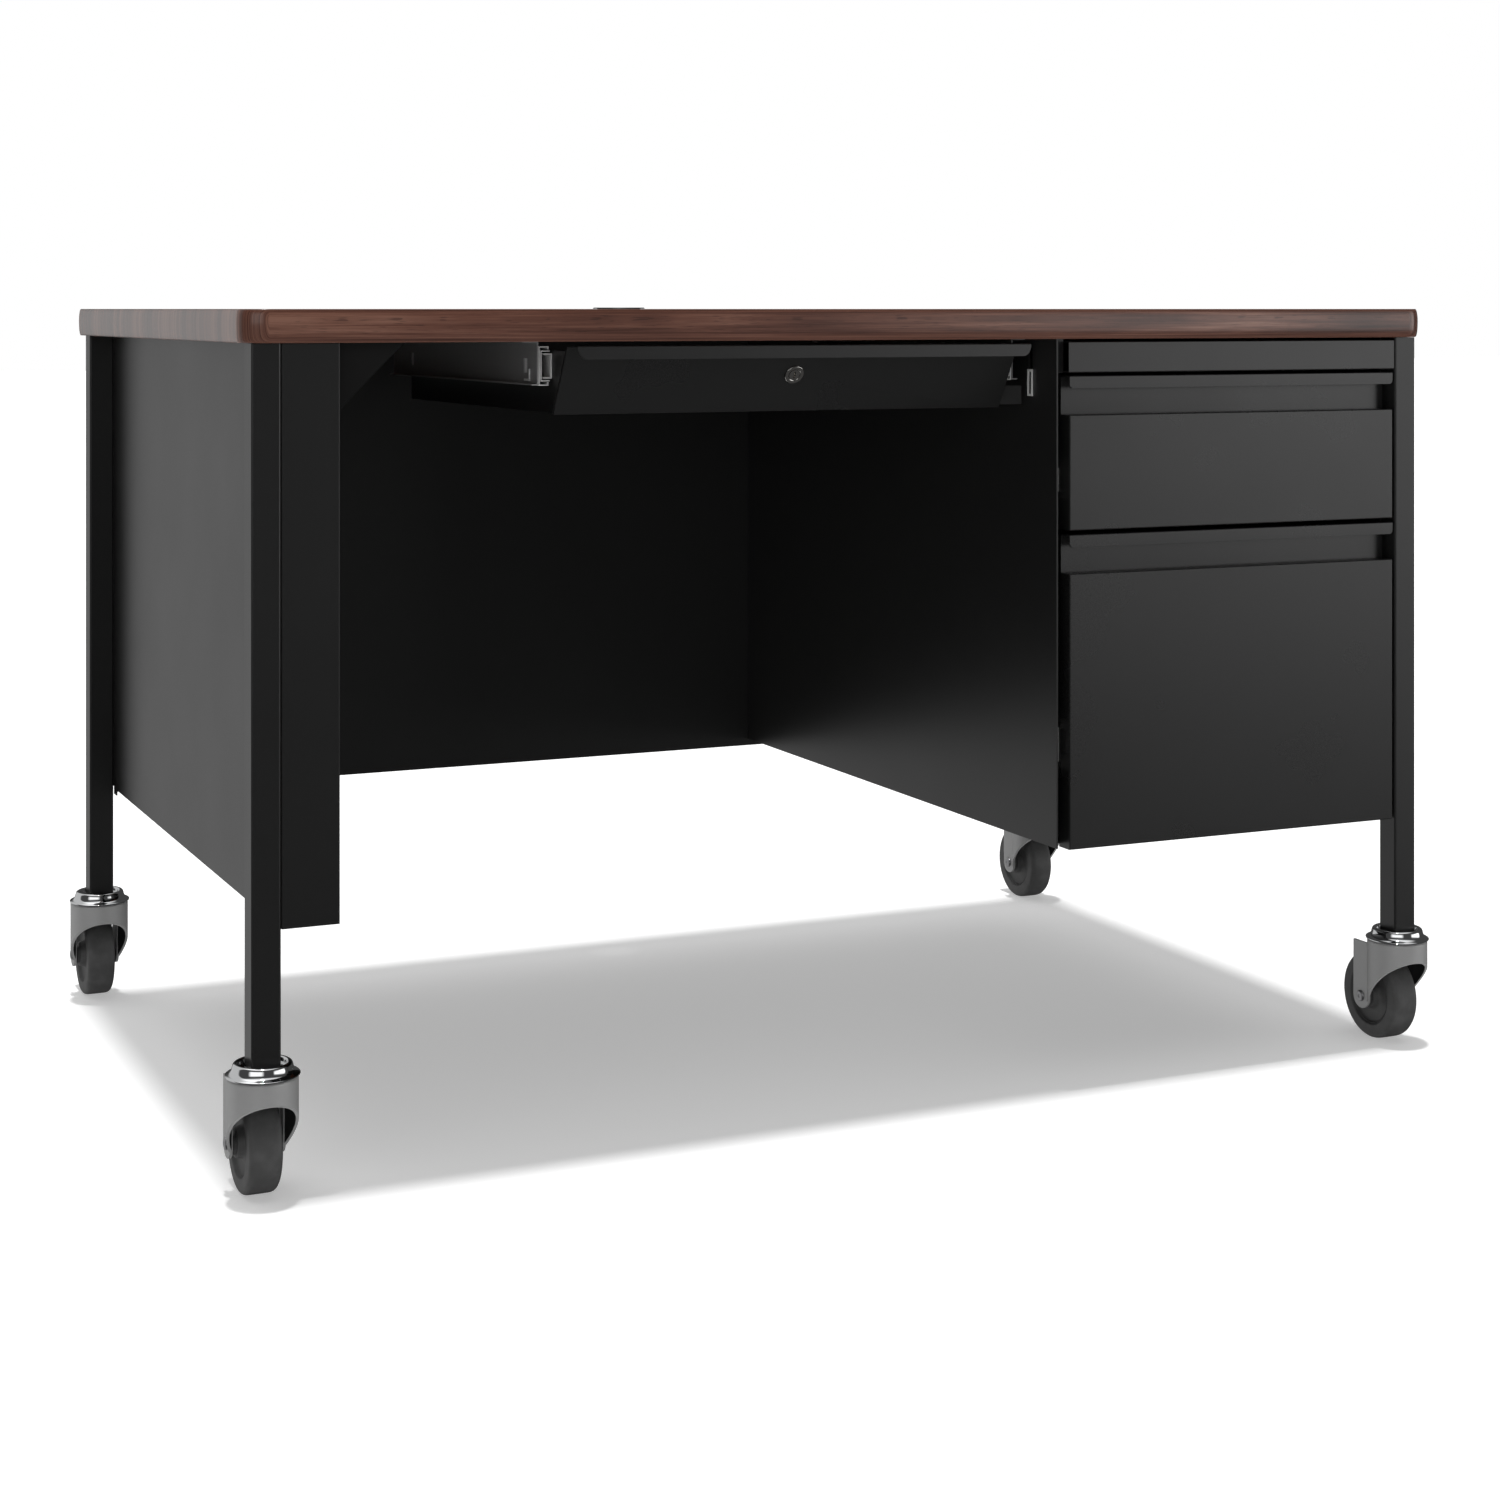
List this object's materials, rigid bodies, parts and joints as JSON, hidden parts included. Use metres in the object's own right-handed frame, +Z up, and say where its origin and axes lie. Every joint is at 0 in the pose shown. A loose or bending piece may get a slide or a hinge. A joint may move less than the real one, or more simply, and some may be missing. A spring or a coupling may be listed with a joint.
{
  "type": "computer desk",
  "caption": "Mobile steel pedestal desk with a walnut-laminate top, tube legs on swivel casters, a locking centre drawer, a box drawer and a file drawer.",
  "frame": {"origin": "on the floor, under the middle of the desk's bounding box at rest, with every caster trailing to the rear", "axes": "+X to the sitter's right along the desk's width, +Y from the sitter to the modesty panel, +Z up"},
  "size_m": [1.2378, 0.8258, 0.751],
  "materials": {
    "walnut_laminate": "walnut-pattern laminate, satin, fine grain along the width",
    "frame_paint": "black powder coat, satin, on square steel tube",
    "panel_paint": "black powder coat, satin, on folded sheet steel",
    "front_paint": "black powder coat, satin, on the folded drawer fronts",
    "drawer_paint": "black powder coat, satin, inside and out",
    "grommet_plastic": "black moulded plastic, fine texture",
    "latch_plastic": "dark grey moulded plastic",
    "lock_nickel": "satin nickel plate, turned",
    "slide_zinc": "bright zinc plate on rolled steel",
    "hanger_zinc": "zinc plate on folded steel, slightly dull",
    "caster_chrome": "bright chrome plate",
    "caster_hood_finish": "light grey metallic lacquer, semi-gloss",
    "caster_axle_steel": "plated rivet steel",
    "wheel_rubber": "dark grey soft rubber tread on a plastic core"
  },
  "bodies": {
    "desk_frame": {"desktop": "walnut_laminate", "grommet_sleeve": "grommet_plastic", "leg_front_left": "frame_paint", "leg_front_right": "frame_paint", "leg_rear_left": "frame_paint", "leg_rear_right": "frame_paint", "left_end_panel": "panel_paint", "left_end_inner_panel": "panel_paint", "corner_gusset": "panel_paint", "modesty_panel": "panel_paint", "pedestal_left_side": "panel_paint", "right_end_panel": "panel_paint", "pedestal_bottom_pan": "panel_paint", "filler_panel": "front_paint", "slide_hanger_left": "hanger_zinc", "slide_hanger_right": "hanger_zinc", "center_slide_left_outer": "slide_zinc", "center_slide_right_outer": "slide_zinc", "box_slide_left_outer": "slide_zinc", "box_slide_right_outer": "slide_zinc", "file_slide_left_outer": "slide_zinc", "file_slide_right_outer": "slide_zinc", "lock_strike": "slide_zinc", "caster_cap_front_left": "caster_chrome", "caster_cap_front_right": "caster_chrome", "caster_cap_rear_left": "caster_chrome", "caster_cap_rear_right": "caster_chrome"},
    "grommet_lid": {"grommet_cap": "grommet_plastic"},
    "center_slide_mids": {"center_slide_left_mid": "slide_zinc", "center_slide_right_mid": "slide_zinc"},
    "center_drawer": {"center_drawer_tray": "drawer_paint", "center_drawer_front": "front_paint", "lock_bezel": "lock_nickel", "drawer_latch_bracket": "latch_plastic", "center_slide_left_inner": "slide_zinc", "center_slide_right_inner": "slide_zinc"},
    "lock_cylinder": {"lock_plug": "lock_nickel", "lock_cam": "slide_zinc"},
    "box_drawer": {"box_drawer_body": "drawer_paint", "box_drawer_front": "front_paint", "box_slide_left_inner": "slide_zinc", "box_slide_right_inner": "slide_zinc"},
    "file_slide_mids": {"file_slide_left_mid": "slide_zinc", "file_slide_right_mid": "slide_zinc"},
    "file_drawer": {"file_drawer_body": "drawer_paint", "file_drawer_front": "front_paint", "file_slide_left_inner": "slide_zinc", "file_slide_right_inner": "slide_zinc"},
    "caster_front_left": {"caster_fork_front_left": "caster_hood_finish", "caster_axle_front_left": "caster_axle_steel"},
    "wheel_front_left": {"caster_wheel_front_left": "wheel_rubber"},
    "caster_front_right": {"caster_fork_front_right": "caster_hood_finish", "caster_axle_front_right": "caster_axle_steel"},
    "wheel_front_right": {"caster_wheel_front_right": "wheel_rubber"},
    "caster_rear_left": {"caster_fork_rear_left": "caster_hood_finish", "caster_axle_rear_left": "caster_axle_steel"},
    "wheel_rear_left": {"caster_wheel_rear_left": "wheel_rubber"},
    "caster_rear_right": {"caster_fork_rear_right": "caster_hood_finish", "caster_axle_rear_right": "caster_axle_steel"},
    "wheel_rear_right": {"caster_wheel_rear_right": "wheel_rubber"}
  },
  "joints": [
    {"name": "grommet_cap_turn", "type": "hinge", "parent": "desk_frame", "child": "grommet_lid", "pos_m": [0, 0.29395, 0.7493], "axis": [0, 0, 1], "continuous": true},
    {"name": "center_drawer_slide", "type": "slide", "parent": "desk_frame", "child": "center_drawer", "axis": [0, -1, 0], "range_m": [0, 0.38]},
    {"name": "center_slide_mid_slide", "type": "slide", "parent": "desk_frame", "child": "center_slide_mids", "axis": [0, -1, 0], "range_m": [0, 0.19]},
    {"name": "lock_turn", "type": "hinge", "parent": "center_drawer", "child": "lock_cylinder", "pos_m": [-0.083, -0.35795, 0.689], "axis": [0, -0.8566, -0.5159], "range_deg": [0, 90]},
    {"name": "box_drawer_slide", "type": "slide", "parent": "desk_frame", "child": "box_drawer", "axis": [0, -1, 0], "range_m": [0, 0.42]},
    {"name": "file_drawer_slide", "type": "slide", "parent": "desk_frame", "child": "file_drawer", "axis": [0, -1, 0], "range_m": [0, 0.54]},
    {"name": "file_slide_mid_slide", "type": "slide", "parent": "desk_frame", "child": "file_slide_mids", "axis": [0, -1, 0], "range_m": [0, 0.27]},
    {"name": "caster_swivel_front_left", "type": "hinge", "parent": "desk_frame", "child": "caster_front_left", "pos_m": [-0.5874, -0.38135, 0.105], "axis": [0, 0, 1], "continuous": true},
    {"name": "wheel_spin_front_left", "type": "hinge", "parent": "caster_front_left", "child": "wheel_front_left", "pos_m": [-0.5874, -0.35335, 0.044], "axis": [1, 0, 0], "continuous": true},
    {"name": "caster_swivel_front_right", "type": "hinge", "parent": "desk_frame", "child": "caster_front_right", "pos_m": [0.5874, -0.38135, 0.105], "axis": [0, 0, 1], "continuous": true},
    {"name": "wheel_spin_front_right", "type": "hinge", "parent": "caster_front_right", "child": "wheel_front_right", "pos_m": [0.5874, -0.35335, 0.044], "axis": [1, 0, 0], "continuous": true},
    {"name": "caster_swivel_rear_left", "type": "hinge", "parent": "desk_frame", "child": "caster_rear_left", "pos_m": [-0.5874, 0.34085, 0.105], "axis": [0, 0, 1], "continuous": true},
    {"name": "wheel_spin_rear_left", "type": "hinge", "parent": "caster_rear_left", "child": "wheel_rear_left", "pos_m": [-0.5874, 0.36885, 0.044], "axis": [1, 0, 0], "continuous": true},
    {"name": "caster_swivel_rear_right", "type": "hinge", "parent": "desk_frame", "child": "caster_rear_right", "pos_m": [0.5874, 0.34085, 0.105], "axis": [0, 0, 1], "continuous": true},
    {"name": "wheel_spin_rear_right", "type": "hinge", "parent": "caster_rear_right", "child": "wheel_rear_right", "pos_m": [0.5874, 0.36885, 0.044], "axis": [1, 0, 0], "continuous": true}
  ],
  "couplings": [
    {"joint": "center_slide_mid_slide", "follows": "center_drawer_slide", "ratio": 0.5},
    {"joint": "file_slide_mid_slide", "follows": "file_drawer_slide", "ratio": 0.5}
  ]
}
